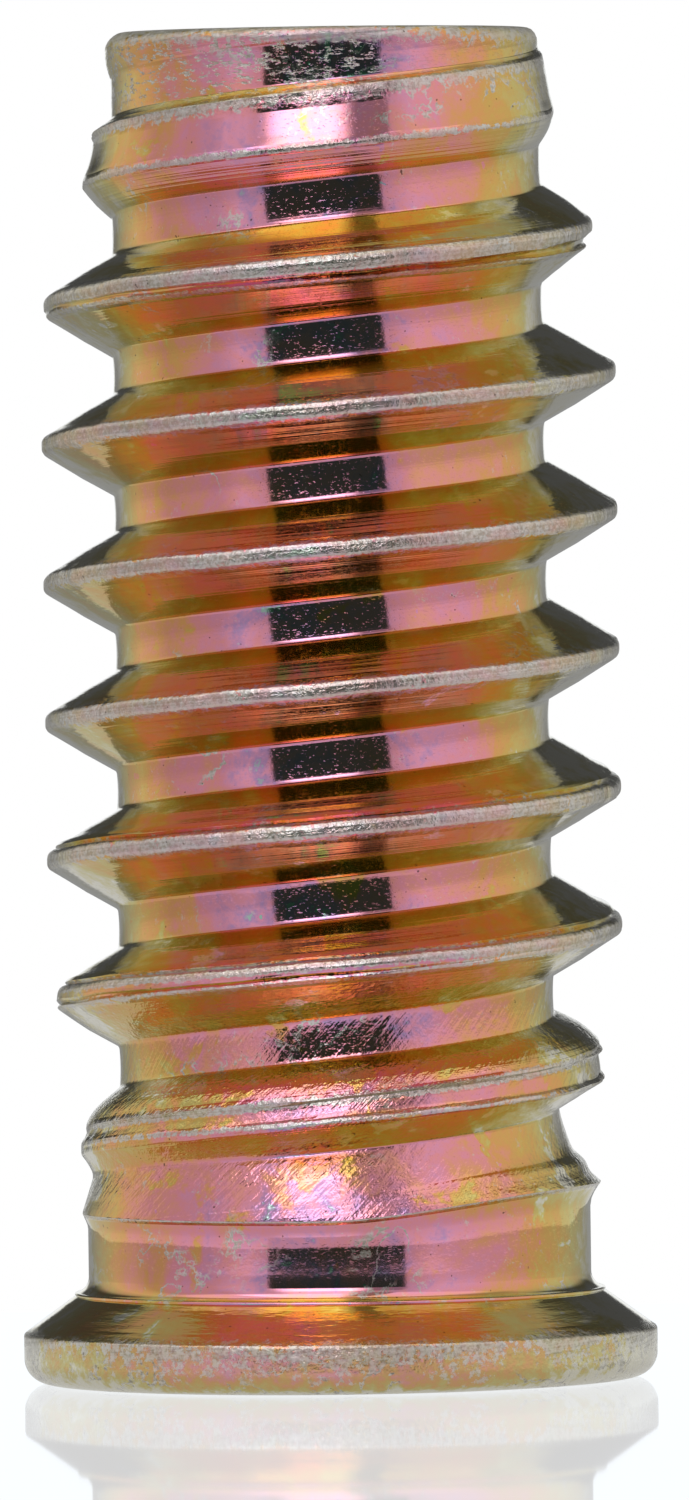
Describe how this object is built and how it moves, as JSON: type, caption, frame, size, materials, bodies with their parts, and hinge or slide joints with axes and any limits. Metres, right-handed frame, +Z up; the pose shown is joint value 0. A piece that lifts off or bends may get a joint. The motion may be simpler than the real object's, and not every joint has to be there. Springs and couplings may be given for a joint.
{
  "type": "threaded insert",
  "caption": "Flanged threaded insert for wood, with a coarse rolled outer thread, a machine-screw bore and a hexagon drive socket, in yellow-passivated zinc-plated steel.",
  "frame": {"origin": "centre of the flange's face, which the part stands on, on the thread's axis", "axes": "+Z up along the thread's axis, from the flange to the free end; +X where the uppermost crest lies 1.23 mm below the free end"},
  "size_m": [0.0118, 0.0118, 0.025],
  "materials": {
    "insert": "zinc plated, yellow passivated, worn bright on the crests"
  },
  "bodies": {
    "root": {"insert": "insert"}
  },
  "joints": []
}
